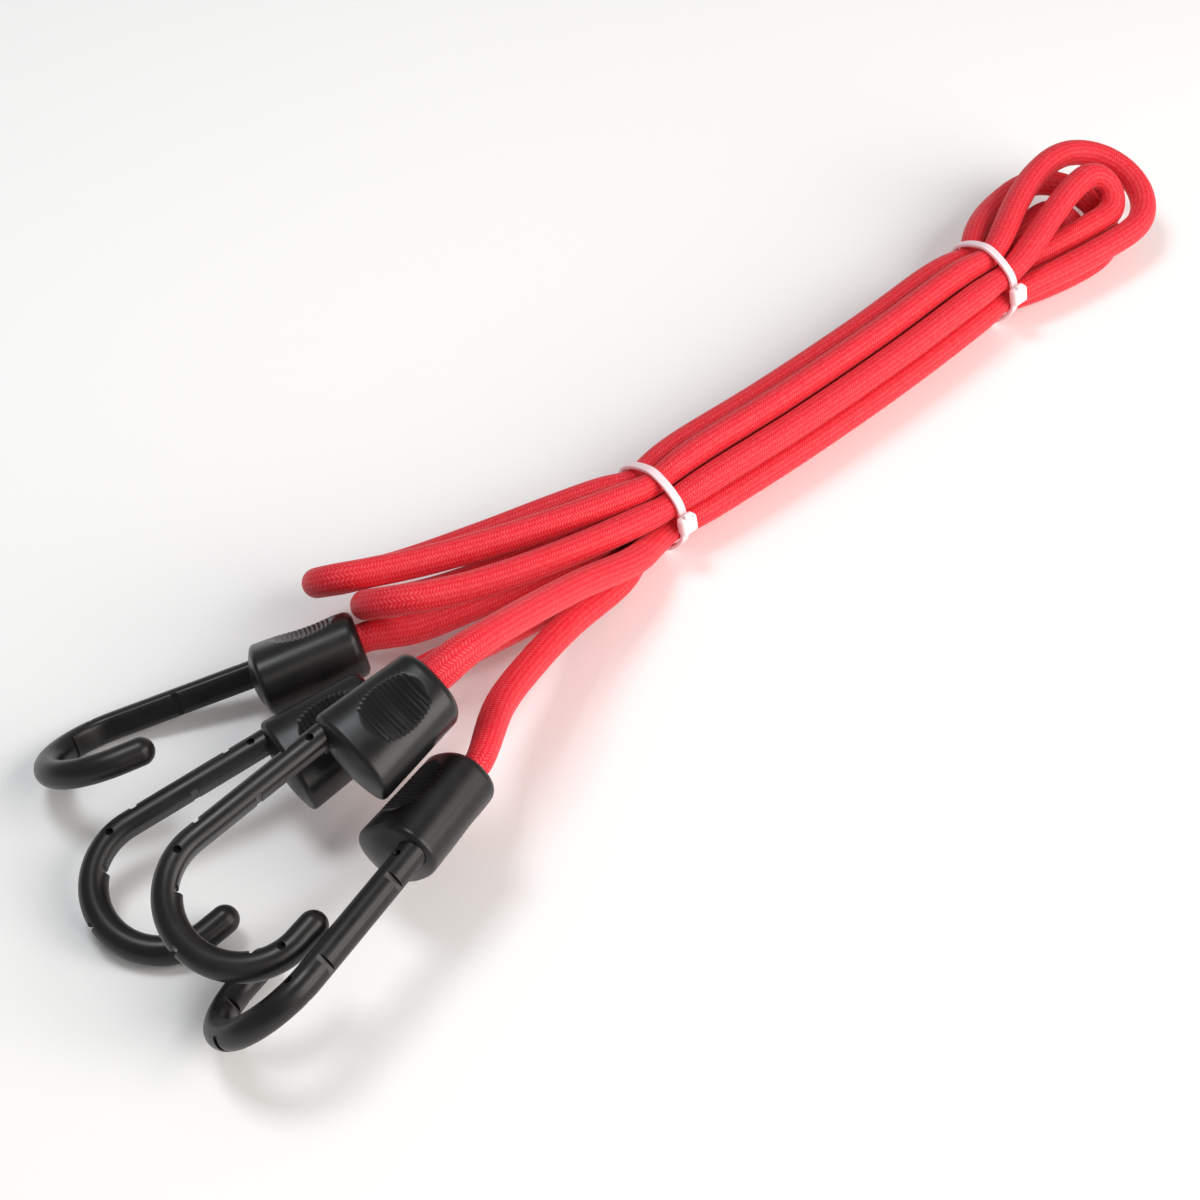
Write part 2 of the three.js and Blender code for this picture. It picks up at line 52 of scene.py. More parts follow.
# every place below is in mm from the foot of the near tie, which the frame gives
restMounts = {mount["name"]: mount["pos_m"] for mount in frame["record"]["mounts"]}
layoutPlace = np.array(restMounts["near_tie_rest"]) / mm

# camera: the photograph's place and lens

cameraView = {
    "place": (-326.7, -322.2, 466.6),
    "target": (-26.6, -7.1, 0.0),
    "lens": 69.93, "sensor": 36,  # mm
}


def addCamera():
    data = bpy.data.cameras.new("photoCamera")
    data.lens = cameraView["lens"]
    data.sensor_width = cameraView["sensor"]
    camera = bpy.data.objects.new("photoCamera", data)
    place, target = (Vector(layoutPlace + np.array(cameraView[key])) * mm for key in ("place", "target"))
    camera.location = place
    camera.rotation_euler = (target - place).to_track_quat("-Z", "Y").to_euler()
    bpy.context.scene.collection.objects.link(camera)
    bpy.context.scene.camera = camera


addCamera()
print("camera set")

# small helpers for node trees


def addNode(tree, kind, links=None, **settings):
    node = tree.nodes.new(kind)
    for key, value in settings.items():
        setattr(node, key, value)
    for key, value in (links or {}).items():
        socket = node.inputs[key]
        if isinstance(value, bpy.types.NodeSocket):
            tree.links.new(value, socket)
        else:
            socket.default_value = value
    return node


def maths(tree, operation, *values):
    node = addNode(tree, "ShaderNodeMath", dict(enumerate(values)), operation=operation)
    return node.outputs[0]


def newMaterial(name):
    material = bpy.data.materials.new(name)
    material.use_nodes = True
    tree = material.node_tree
    return material, tree, tree.nodes["Principled BSDF"]


def rampOf(tree, factor, stops):
    ramp = addNode(tree, "ShaderNodeValToRGB", {0: factor})
    marks = ramp.color_ramp.elements
    while len(marks) < len(stops):
        marks.new(0.5)
    for mark, (place, colour) in zip(marks, stops):
        mark.position = place
        mark.color = (*colour, 1)
    return ramp.outputs[0]


def objectPlace(tree):
    return addNode(tree, "ShaderNodeTexCoord").outputs["Object"]


def noiseOf(tree, place, scale, detail):
    return addNode(tree, "ShaderNodeTexNoise", {"Vector": place, "Scale": scale, "Detail": detail}).outputs[0]


def bumpOf(tree, height, look):
    return addNode(tree, "ShaderNodeBump", {
        "Height": height, "Strength": look["bump"], "Distance": look["relief"] * mm}).outputs[0]


# red braid: columns of slanted stitches that lean left and right in turn

braid = {
    "columns": 18,  # round the cord
    "stitch": 0.85,  # mm along the cord
    "lean": 0.95,  # stitches that one column's slant covers
    # the colour below is a darker red painted into the grooves between columns and stitches: painted shade
    "groove": (0.46, 0.005, 0.012),
    "thread": (0.76, 0.010, 0.025),
    # the colour below is a lighter pink painted on each stitch's crown: a painted highlight
    "paintedSheen": (0.81, 0.085, 0.105),
    "columnPower": 0.18,  # lower gives fuller columns
    "stitchPower": 0.6,
    "yarnScale": 900,
    "mottle": 0.55,
    "bump": 0.45,
    "relief": 0.16,  # mm
    "roughness": 0.55,
    "specular": 0.3,
    "fuzz": 0.18,
    "fuzzRoughness": 0.4,
    "fuzzTint": (1, 0.55, 0.58),
}


def braidMaterial():
    material, tree, shader = newMaterial("redBraid")
    # the tube carries the cosine and sine of the angle round it, and the length along it
    carried = addNode(tree, "ShaderNodeAttribute", attribute_name="braid")
    split = addNode(tree, "ShaderNodeSeparateXYZ", {0: carried.outputs["Vector"]}).outputs
    turn = maths(tree, "DIVIDE", maths(tree, "ARCTAN2", split[1], split[0]), 2 * math.pi)
    column = maths(tree, "MULTIPLY", turn, braid["columns"])
    across = maths(tree, "FRACT", maths(tree, "ADD", column, braid["columns"]))
    odd = maths(tree, "FLOORED_MODULO", maths(tree, "FLOOR", column), 2)
    lean = maths(tree, "SUBTRACT", 1, maths(tree, "MULTIPLY", odd, 2))
    along = maths(tree, "DIVIDE", split[2], braid["stitch"] * mm)
    slant = maths(tree, "MULTIPLY", maths(tree, "MULTIPLY", across, lean), braid["lean"])
    shift = maths(tree, "MULTIPLY", odd, braid["lean"])
    stitch = maths(tree, "ADD", maths(tree, "ADD", along, slant), shift)
    wave = maths(tree, "ABSOLUTE", maths(tree, "SINE", maths(tree, "MULTIPLY", stitch, math.pi)))
    crown = maths(tree, "SINE", maths(tree, "MULTIPLY", across, math.pi))
    ridge = maths(tree, "MULTIPLY", maths(tree, "POWER", crown, braid["columnPower"]),
                  maths(tree, "POWER", wave, braid["stitchPower"]))
    # yarn picks up a little more or less dye along its length
    dye = noiseOf(tree, objectPlace(tree), braid["yarnScale"], 3)
    mottle = maths(tree, "MULTIPLY", maths(tree, "SUBTRACT", dye, 0.5), braid["mottle"])
    level = maths(tree, "ADD", ridge, mottle)
    # the ramp paints the grooves a darker red as painted shade and the stitch crowns a lighter pink as a
    # painted highlight
    colour = rampOf(tree, level, [
        (0.08, braid["groove"]), (0.42, braid["thread"]), (0.74, braid["thread"]), (1.0, braid["paintedSheen"])])
    tree.links.new(colour, shader.inputs["Base Color"])
    tree.links.new(bumpOf(tree, level, braid), shader.inputs["Normal"])
    shader.inputs["Roughness"].default_value = braid["roughness"]
    shader.inputs["Specular IOR Level"].default_value = braid["specular"]
    shader.inputs["Sheen Weight"].default_value = braid["fuzz"]
    shader.inputs["Sheen Roughness"].default_value = braid["fuzzRoughness"]
    shader.inputs["Sheen Tint"].default_value = (*braid["fuzzTint"], 1)
    return material


redBraid = braidMaterial()

# cord routes, mm: the hank lies along x with its first tie at x = 0

cord = {"diameter": 8, "gap": 0.6, "squeeze": 0.5, "squeezeReach": 8, "swellReach": 13, "bow": -2,
        "clearance": 0.3, "inBarrel": (6.2, 15.2),  # mm from the mouth to the sleeve and to the cord's end
        "sides": 36, "step": 1.0}
tie = {"spacing": 141, "width": 2.5, "thickness": 1.1, "headAcross": 4.7, "headAlong": 4.6,
       "headHeight": 3.2, "stub": 0.9}

cordEnds = {
    "1": {"slot": "core", "mouth": (-92.8, 13.4, 18.2), "yaw": 155.5, "pitch": -9.6, "roll": 34, "swell": 0,
          "lead": 2, "route": [(-22, -0.8, 14), (-45, 0.8, 15.8), (-66, 4, 16.6), (-80, 7.8, 16.8)]},
    "2": {"slot": 4, "mouth": (-106.4, -9.8, 24.6), "yaw": 169, "pitch": -10, "roll": -17, "swell": 0,
          "lead": 12, "route": [(-22, 0.3, 4.7), (-45, -6.6, 10.2)]},
    "3": {"slot": 2, "mouth": (-103.8, -29, 46.4), "yaw": 179, "pitch": -9, "roll": -19, "swell": 0.8,
          "lead": 12, "route": [(-20, -13.9, 16.2), (-48, -18.8, 29.2)]},
    "4": {"slot": 3, "mouth": (-106.6, -45.4, 27.7), "yaw": 194, "pitch": -2, "roll": -134, "swell": -0.5,
          "lead": 4,
          "route": [(-22, -10.4, 7), (-46.3, -16.2, 12.5), (-64, -22.3, 17.2), (-84, -31.2, 22.8)]},
}
nearFolds = {
    "a": {"slots": (0, 6), "centre": (-82, 30.4, 20.7), "arm": (-1.2, -6, 6.4),
          "axis": (-0.92, 0.36, 0.16), "start": ((-22, 2.2, 2.2), (-18, 5, 3.2)), "end": 24},
    "b": {"slots": (1, 5), "centre": (-79.8, 9.2, 27.1), "arm": (-0.3, -7.9, 7.3),
          "axis": (-0.92, 0.29, 0.26), "start": ((-20, 0.7, 2.2), (-24, 0.8, -2.6)), "end": 20},
}
farFolds = {
    "a": [{"slots": (2, 0), "centre": (54, 1, 17), "arm": (0, -16.3, -5), "axis": (1, 0, 0),
           "start": ((10, -3, 2), (10, 1.2, 3)), "end": 20},
          {"slots": (6, 3), "centre": (43, 5.1, 9), "arm": (0, 16.2, 4.7), "axis": (1, 0, 0),
           "start": ((9, 6, 1.4), (10, -1.5, -0.5)), "end": 18}],
    "b": [{"slots": ("core", 1), "centre": (52, -1.6, 18.6), "arm": (0, -5, -4.6), "axis": (1, 0, 0),
           "start": ((14, -1, -2), (12, -0.5, 2.5)), "end": 14},
          {"slots": (5, 4), "centre": (44, 5.8, 6.2), "arm": (0, 5.9, 1.9), "axis": (1, 0, 0),
           "start": ((9, 0.9, -0.9), (9, -0.9, -0.3)), "end": 14}],
}

outerRuns = 7  # they lie round one in the middle
halfSlot = math.pi / outerRuns
tiedRadius = cord["diameter"] / 2 - cord["squeeze"]
tiedRing = (tiedRadius + cord["gap"] / 2) / math.sin(halfSlot)
freeRing = (cord["diameter"] / 2 + cord["gap"] / 2) / math.sin(halfSlot)
tiedHeight = tiedRing * math.cos(halfSlot) + tiedRadius + cord["clearance"] + tie["thickness"]
freeHeight = freeRing * math.cos(halfSlot) + cord["diameter"] / 2 + cord["clearance"]
strapEdge = tie["width"] / 2 + 2 * cord["clearance"]
splitGap = cord["clearance"] / 2
runStations = [share * tie["spacing"] for share in (0.05, 0.12, 0.35, 0.65, 0.88, 0.95)]
legShares = (0, 0.13, 0.32, 0.55, 0.8)
bendSteps = 8  # in a fold's half turn


def squeezeAt(x):
    return max(math.exp(-(((x - at) / cord["squeezeReach"]) ** 2)) for at in (0, tie["spacing"]))


def slotPlace(slot, x):
    squeeze = squeezeAt(x)
    height = freeHeight + (tiedHeight - freeHeight) * squeeze
    inside = 0 < x < tie["spacing"]
    bow = cord["bow"] * math.sin(math.pi * x / tie["spacing"]) ** 2 if inside else 0
    if slot == "core":
        return np.array([x, bow, height])
    ring = freeRing + (tiedRing - freeRing) * squeeze
    angle = math.pi / 2 + 2 * halfSlot * slot
    return np.array([x, bow + ring * math.cos(angle), height + ring * math.sin(angle)])


def underTie(slot, at, x):
    place = slotPlace(slot, at)
    place[0] = at + x
    return place


def runPoints(slot, towardsFar):
    points = [underTie(slot, 0, strapEdge), *(slotPlace(slot, x) for x in runStations),
              underTie(slot, tie["spacing"], -strapEdge)]
    return points if towardsFar else points[::-1]


def foldPoints(fold, at):
    middle = np.array(fold["centre"]) + np.array([at, 0, 0])
    reach = np.array(fold["arm"], float)
    onward = np.array(fold["axis"], float)
    onward = onward - reach * (onward @ reach) / (reach @ reach)
    onward = onward / np.linalg.norm(onward)
    legs = []
    for slot, start, side in zip(fold["slots"], fold["start"], (1, -1)):
        tip = middle + side * reach
        a = underTie(slot, at, math.copysign(strapEdge, onward[0]))
        b, c = a + np.array(start), tip - fold["end"] * onward
        legs.append([(1 - t) ** 3 * a + 3 * t * (1 - t) ** 2 * b + 3 * t * t * (1 - t) * c + t ** 3 * tip
                     for t in legShares])
    angles = [math.pi * i / bendSteps for i in range(bendSteps + 1)]
    bend = [middle + reach * math.cos(t) + onward * np.linalg.norm(reach) * math.sin(t) for t in angles]
    return [*legs[0], *bend, *legs[1][::-1]]


def hankPoints(name):
    firstFar, secondFar = farFolds[name]
    first, second = firstFar["slots"]
    third, fourth = secondFar["slots"]
    return [underTie(first, 0, splitGap), *runPoints(first, True), *foldPoints(firstFar, tie["spacing"]),
            *runPoints(second, False), *foldPoints(nearFolds[name], 0), *runPoints(third, True),
            *foldPoints(secondFar, tie["spacing"]), *runPoints(fourth, False), underTie(fourth, 0, splitGap)]


def hookPlace(end):
    turn = Matrix.Rotation(math.radians(end["yaw"]), 4, "Z")
    tilt = Matrix.Rotation(-math.radians(end["pitch"]), 4, "Y")
    roll = Matrix.Rotation(math.radians(end["roll"]), 4, "X")
    return Matrix.Translation(Vector(end["mouth"]) + Vector(layoutPlace)) @ turn @ tilt @ roll


def barrelAxis(end):
    return np.array(hookPlace(end).to_3x3().col[0])


def tailPoints(end):
    along = barrelAxis(end)
    mouth = np.array(end["mouth"], float)
    return [underTie(end["slot"], 0, -splitGap), underTie(end["slot"], 0, -strapEdge),
            slotPlace(end["slot"], -cord["squeezeReach"]), *(np.array(p, float) for p in end["route"]),
            mouth - end["lead"] * along, mouth, *(mouth + depth * along for depth in cord["inBarrel"])]


# evenly spaced points on a smooth curve through the given ones
def smoothLine(points, step, fineness=40):
    p = np.array(points)
    p = np.vstack([2 * p[0] - p[1], p, 2 * p[-1] - p[-2]])
    knots = np.concatenate([[0], np.cumsum(np.sqrt(np.linalg.norm(np.diff(p, axis=0), axis=1)))])
    fine = []
    for i in range(1, len(p) - 2):
        t = np.linspace(knots[i], knots[i + 1], fineness, endpoint=False)[:, None]

        def mix(lower, upper, first, second):
            return ((knots[second] - t) * lower + (t - knots[first]) * upper) / (knots[second] - knots[first])

        a1, a2, a3 = (mix(p[j], p[j + 1], j, j + 1) for j in (i - 1, i, i + 1))
        b1, b2 = mix(a1, a2, i - 1, i + 1), mix(a2, a3, i, i + 2)
        fine.append(mix(b1, b2, i, i + 1))
    fine = np.vstack([*fine, p[-2:-1]])
    length = np.concatenate([[0], np.cumsum(np.linalg.norm(np.diff(fine, axis=0), axis=1))])
    stations = np.linspace(0, length[-1], int(round(length[-1] / step)) + 1)
    return np.column_stack([np.interp(stations, length, fine[:, k]) for k in range(3)])


# tube along a curve, for cords and hooks: it keeps the angle round it and the length along it for the braid


def tubeTree():
    tree = bpy.data.node_groups.new("braidedTube", "GeometryNodeTree")
    face = tree.interface
    face.new_socket("Geometry", in_out="INPUT", socket_type="NodeSocketGeometry")
    face.new_socket("Sides", in_out="INPUT", socket_type="NodeSocketInt")
    face.new_socket("Finish", in_out="INPUT", socket_type="NodeSocketMaterial")
    face.new_socket("Geometry", in_out="OUTPUT", socket_type="NodeSocketGeometry")
    given = addNode(tree, "NodeGroupInput").outputs
    spline = addNode(tree, "GeometryNodeSplineParameter")
    length = addNode(tree, "GeometryNodeCaptureAttribute", {0: given["Geometry"]})
    length.capture_items.new("FLOAT", "Length")
    tree.links.new(spline.outputs["Length"], length.inputs[1])
    ring = addNode(tree, "GeometryNodeCurvePrimitiveCircle", {"Resolution": given["Sides"], "Radius": 1.0})
    angle = addNode(tree, "GeometryNodeCaptureAttribute", {0: ring.outputs[0]})
    angle.capture_items.new("FLOAT", "Angle")
    tree.links.new(maths(tree, "MULTIPLY", spline.outputs["Factor"], 2 * math.pi), angle.inputs[1])
    tube = addNode(tree, "GeometryNodeCurveToMesh", {
        "Curve": length.outputs[0], "Profile Curve": angle.outputs[0], "Fill Caps": True,
        "Scale": addNode(tree, "GeometryNodeInputRadius").outputs[0]})
    carried = addNode(tree, "ShaderNodeCombineXYZ", {
        0: maths(tree, "COSINE", angle.outputs[1]), 1: maths(tree, "SINE", angle.outputs[1]),
        2: length.outputs[1]})
    kept = addNode(tree, "GeometryNodeStoreNamedAttribute", {
        "Geometry": tube.outputs[0], "Name": "braid", "Value": carried.outputs[0]},
        data_type="FLOAT_VECTOR", domain="POINT")
    smooth = addNode(tree, "GeometryNodeSetShadeSmooth", {0: kept.outputs[0]})
    whole = addNode(tree, "GeometryNodeRealizeInstances", {0: smooth.outputs[0]})
    dressed = addNode(tree, "GeometryNodeSetMaterial", {
        "Geometry": whole.outputs[0], "Material": given["Finish"]})
    addNode(tree, "NodeGroupOutput", {0: dressed.outputs[0]})
    return tree


def inputId(tree, name):
    return next(item.identifier for item in tree.interface.items_tree
                if item.name == name and item.in_out == "INPUT")


def linkObject(name, data):
    piece = bpy.data.objects.new(name, data)
    bpy.context.scene.collection.objects.link(piece)
    return piece


def plainMesh(piece, name):
    reading = piece.evaluated_get(bpy.context.evaluated_depsgraph_get())
    mesh = bpy.data.meshes.new_from_object(reading)
    bpy.data.objects.remove(piece)
    return linkObject(name, mesh)


def tubeAlong(name, line, radii, sides, finish):
    data = bpy.data.curves.new(name, "CURVE")
    data.dimensions = "3D"
    spline = data.splines.new("POLY")
    spline.points.add(len(line) - 1)
    spline.points.foreach_set("co", np.column_stack([line, np.ones(len(line))]).ravel())
    spline.points.foreach_set("radius", radii)
    draft = linkObject(name + "Line", data)
    nodes = draft.modifiers.new("tube", "NODES")
    nodes.node_group = braidedTube
    nodes[inputId(braidedTube, "Sides")] = sides
    nodes[inputId(braidedTube, "Finish")] = finish
    return plainMesh(draft, name)


braidedTube = tubeTree()


def cordRadii(line):
    return np.array([cord["diameter"] / 2 - cord["squeeze"] * squeezeAt(x) for x in line[:, 0]])


for name in "ab":
    line = smoothLine(hankPoints(name), cord["step"])
    hank = tubeAlong(f"cordHank_{name}", (line + layoutPlace) * mm, cordRadii(line) * mm,
                     cord["sides"], redBraid)
    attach(hank, "hank")
    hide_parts(f"cord_{name}_hank")

for number, end in cordEnds.items():
    line = smoothLine(tailPoints(end), cord["step"])
    mouth, along = np.array(end["mouth"]), barrelAxis(end)
    swell = end["swell"] * np.exp(-((np.linalg.norm(line - mouth, axis=1) / cord["swellReach"]) ** 2))
    swell[line @ along > mouth @ along] = 0
    tail = tubeAlong(f"cordTail_{number}", (line + layoutPlace) * mm, (cordRadii(line) + swell) * mm,
                     cord["sides"], redBraid)
    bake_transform(tail)
    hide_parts(f"cord_tail_{number}")
print("cords laid")

# black plastic, nylon and steel

plastic = {
    "dark": (0.0045, 0.0042, 0.0043), "light": (0.011, 0.0100, 0.0100), "specular": 0.4,
    "grainScale": 2400, "flowScale": 130,
    "roughness": 0.24, "roughnessRange": 0.22,
    "seamWidth": 0.25, "seamStart": -6,  # mm: the parting line shows on the shank's side
    "seamHeight": 0.7, "grainHeight": 0.12, "bump": 0.8, "relief": 0.05,
}
nylon = {
    # the strap colour is white with pink painted in for the red light from the cords that shines through it
    "strap": (0.92, 0.70, 0.74), "head": (0.93, 0.90, 0.90),
    "strapTop": 13.6, "fade": 1.2,  # mm from the axis
    "cloudScale": 300, "cloud": 0.3, "bump": 0.1, "relief": 0.05, "roughness": 0.38,
    "subsurface": 0.25, "subsurfaceColour": (1.0, 0.5, 0.5), "subsurfaceReach": 0.8,
}
steel = {"dark": (0.30, 0.30, 0.31), "light": (0.45, 0.45, 0.46), "streakScale": 1200,
         "roughness": 0.25, "roughnessRange": 0.2}


def mouldPlace(tree):
    return addNode(tree, "ShaderNodeAttribute", attribute_name="mould").outputs["Vector"]


def plasticMaterial():
    material, tree, shader = newMaterial("blackPlastic")
    # grain by the place in the room, so that each copy has its own, and the parting line by the mould
    room = objectPlace(tree)
    grain = noiseOf(tree, room, plastic["grainScale"], 3)
    flow = noiseOf(tree, room, plastic["flowScale"], 5)
    split = addNode(tree, "ShaderNodeSeparateXYZ", {0: mouldPlace(tree)}).outputs
    offSeam = maths(tree, "DIVIDE", maths(tree, "ABSOLUTE", split[2]), plastic["seamWidth"] * mm)
    onSide = maths(tree, "LESS_THAN", split[1], plastic["seamStart"] * mm)
    seam = maths(tree, "MULTIPLY", maths(tree, "MAXIMUM", maths(tree, "SUBTRACT", 1, offSeam), 0), onSide)
    colour = rampOf(tree, flow, [(0.3, plastic["dark"]), (0.75, plastic["light"])])
    gloss = maths(tree, "MULTIPLY_ADD", flow, plastic["roughnessRange"], plastic["roughness"])
    height = maths(tree, "MULTIPLY_ADD", grain, plastic["grainHeight"],
                   maths(tree, "MULTIPLY", seam, plastic["seamHeight"]))
    tree.links.new(colour, shader.inputs["Base Color"])
    tree.links.new(gloss, shader.inputs["Roughness"])
    tree.links.new(bumpOf(tree, height, plastic), shader.inputs["Normal"])
    shader.inputs["Specular IOR Level"].default_value = plastic["specular"]
    return material


def nylonMaterial():
    material, tree, shader = newMaterial("whiteNylon")
    cloud = noiseOf(tree, objectPlace(tree), nylon["cloudScale"], 3)
    # painted light: the thin strap is coloured pink for the red of the cords shining through it, and the
    # thick head stays white
    split = addNode(tree, "ShaderNodeSeparateXYZ", {0: mouldPlace(tree)}).outputs
    squares = (maths(tree, "MULTIPLY", axis, axis) for axis in split[1:])
    away = maths(tree, "SQRT", maths(tree, "ADD", *squares))
    above = maths(tree, "SUBTRACT", away, nylon["strapTop"] * mm)
    overStrap = maths(tree, "DIVIDE", above, nylon["fade"] * mm)
    level = maths(tree, "MULTIPLY_ADD", cloud, nylon["cloud"],
                  maths(tree, "SUBTRACT", overStrap, nylon["cloud"] / 2))
    colour = rampOf(tree, level, [(0.0, nylon["strap"]), (1.0, nylon["head"])])
    tree.links.new(colour, shader.inputs["Base Color"])
    tree.links.new(bumpOf(tree, cloud, nylon), shader.inputs["Normal"])
    shader.inputs["Roughness"].default_value = nylon["roughness"]
    shader.inputs["Subsurface Weight"].default_value = nylon["subsurface"]
    shader.inputs["Subsurface Radius"].default_value = nylon["subsurfaceColour"]
    shader.inputs["Subsurface Scale"].default_value = nylon["subsurfaceReach"] * mm
    return material


def steelMaterial():
    material, tree, shader = newMaterial("drawnSteel")
    streak = noiseOf(tree, objectPlace(tree), steel["streakScale"], 4)
    colour = rampOf(tree, streak, [(0.3, steel["dark"]), (0.7, steel["light"])])
    gloss = maths(tree, "MULTIPLY_ADD", streak, steel["roughnessRange"], steel["roughness"])
    tree.links.new(colour, shader.inputs["Base Color"])
    tree.links.new(gloss, shader.inputs["Roughness"])
    shader.inputs["Metallic"].default_value = 1
    return material


blackPlastic, whiteNylon, drawnSteel = plasticMaterial(), nylonMaterial(), steelMaterial()

# wires and crimped sleeves keep their CAD shape
for node, thing in frame["nodes"].items():
    if node.startswith(("hook_wire", "ferrule")):
        thing.data.materials.clear()
        thing.data.materials.append(drawnSteel)

# hook ends, mm: the barrel's mouth at the origin, the hook along x, its bow turning to y

barrel = {
    "length": 29, "edge": 2.4, "hookEdge": 1.6, "dome": 2.0,
    "shankSide": (8.5, 10.05), "bowSide": (11.8, 16), "thickness": (18.4, 19.4),  # at the cord, at the hook
    "squareness": 2.4, "skew": 0.08,
    "recessDepth": 2.75, "recessLength": 20.4, "recessCentre": 12.9, "recessSideRadius": 22,
    "recessLip": 0.25, "recessTilt": 0.09,  # the floor falls towards the shank
    "ribs": 11, "ribPitch": 1.25, "ribHeight": 0.4,
    "bore": 4.3, "lip": 0.7, "pocketRadius": 5.2, "pocketEnd": 15.8, "wireRoom": 0.3,
    "domeStart": 1.2,  # mm before the hook's end
    "domeShares": (0.92, 0.8, 0.66, 0.5, 0.34, 0.18, 0.05),
    "points": 144, "step": 0.16,
}
hook = {
    "coatRadius": 3.65, "innerReach": 2.5, "flatEnd": 46.5, "fillet": 1.1,
    "shankLength": 38, "shankOffset": 5.2, "bowRadius": 17, "bowSweep": 188, "tipLength": 8.6,
    "coatStart": 20, "wireStart": 17.2, "wireRadius": 1.8, "wireHeadRadius": 2.5, "seam": 0.15,
    "notchWidth": 1.7, "notchDepth": 1.2, "notchSpan": 2.2, "notchRound": 0.2, "overWire": 0.1,
    "shankNotches": ((9, "outer"), (20.8, "inner"), (35, "outer")),  # mm from the barrel
    "bowNotches": ((46.5, "inner"), (91, "outer"), (150, "inner")),  # degrees round the bow
    "shankPins": ((2.8, -1.2),), "bowPins": ((16, -0.7), (174, 1.2)),  # with mm towards the inner side
    "pinRadius": 1.0, "pinSides": 24, "intoWire": 0.35,  # the steel shows at the bottom
    "sides": 56, "step": 0.5, "bowStep": 1.6, "sharpAngle": 38,  # the last two in degrees
}


def softMin(a, b, reach):
    share = np.clip(0.5 + (b - a) / (2 * reach), 0, 1)
    return b + (a - b) * share - reach * share * (1 - share)


def barrelSection(x, inset):
    share = np.clip(x / barrel["length"], 0, 1)
    ends = (barrel[key] for key in ("bowSide", "shankSide", "thickness"))
    bowSide, shankSide, thickness = (atCord + (atHook - atCord) * share for atCord, atHook in ends)
    angle = (np.arange(barrel["points"]) + 0.5) * 2 * math.pi / barrel["points"]

    def squared(value):
        return np.sign(value) * np.abs(value) ** (2 / barrel["squareness"])

    side = squared(np.cos(angle))
    rise = (thickness / 2 - inset) * squared(np.sin(angle)) * (1 + barrel["skew"] * (side - 1))
    away = (x - barrel["recessCentre"]) / (barrel["recessLength"] / 2)
    dish = barrel["recessDepth"] * max(1 - away ** 2, 0)
    alongRibs = (x - barrel["recessCentre"]) / barrel["ribPitch"] + barrel["ribs"] / 2
    ribbed = -0.5 < alongRibs < barrel["ribs"] + 0.5
    groove = barrel["ribHeight"] * (0.5 + 0.5 * math.cos(2 * math.pi * alongRibs)) if ribbed else 0
    across = ((bowSide + shankSide) / 2 - inset) * side
    rolled = across ** 2 / (2 * barrel["recessSideRadius"]) + barrel["recessTilt"] * across
    height = softMin(np.abs(rise), thickness / 2 - dish - groove + rolled, barrel["recessLip"])
    width = (bowSide - shankSide) / 2 + across
    return np.column_stack([np.full(len(angle), x), width, np.sign(rise) * height])


def gridMesh(name, rings, wrap=False):
    count, sides = len(rings), len(rings[0])
    faces = []
    for i in range(count if wrap else count - 1):
        low, high = i * sides, (i + 1) % count * sides
        faces += [(low + k, low + (k + 1) % sides, high + (k + 1) % sides, high + k) for k in range(sides)]
    if not wrap:
        faces += [tuple(range(sides))[::-1], tuple(range((count - 1) * sides, count * sides))]
    mesh = bpy.data.meshes.new(name)
    mesh.from_pydata((np.vstack(rings) * mm).tolist(), [], faces)
    mesh.validate()
    return mesh


def lathed(name, profile, sides=64, centreY=0.0):
    turn = np.arange(sides) * 2 * math.pi / sides
    rings = [np.column_stack([np.full(sides, x), centreY + r * np.cos(turn), r * np.sin(turn)])
             for x, r in profile]
    return linkObject(name, gridMesh(name, rings))


def inMetres(place):
    move = place.copy()
    move.translation = place.translation * mm
    return move


def fromShape(name, shape):
    mesh = bpy.data.meshes.new(name)
    shape.to_mesh(mesh)
    shape.free()
    return linkObject(name, mesh)


def blockOf(name, size, place, softEdge=0.0):
    shape = bmesh.new()
    bmesh.ops.create_cube(shape, size=1, matrix=Matrix.Diagonal((*(v * mm for v in size), 1)))
    if softEdge:
        bmesh.ops.bevel(shape, geom=shape.edges[:], offset=softEdge * mm, segments=3, profile=0.5,
                        affect="EDGES")
    bmesh.ops.transform(shape, matrix=inMetres(place), verts=shape.verts)
    return fromShape(name, shape)


def carved(piece, cutters, name):
    group = bpy.data.collections.new(name + "Cuts")
    for cutter in cutters:
        group.objects.link(cutter)
    cut = piece.modifiers.new("cuts", "BOOLEAN")
    cut.operand_type = "COLLECTION"
    cut.collection = group
    cut.solver = "EXACT"
    done = plainMesh(piece, name)
    for cutter in cutters:
        bpy.data.objects.remove(cutter)
    return done


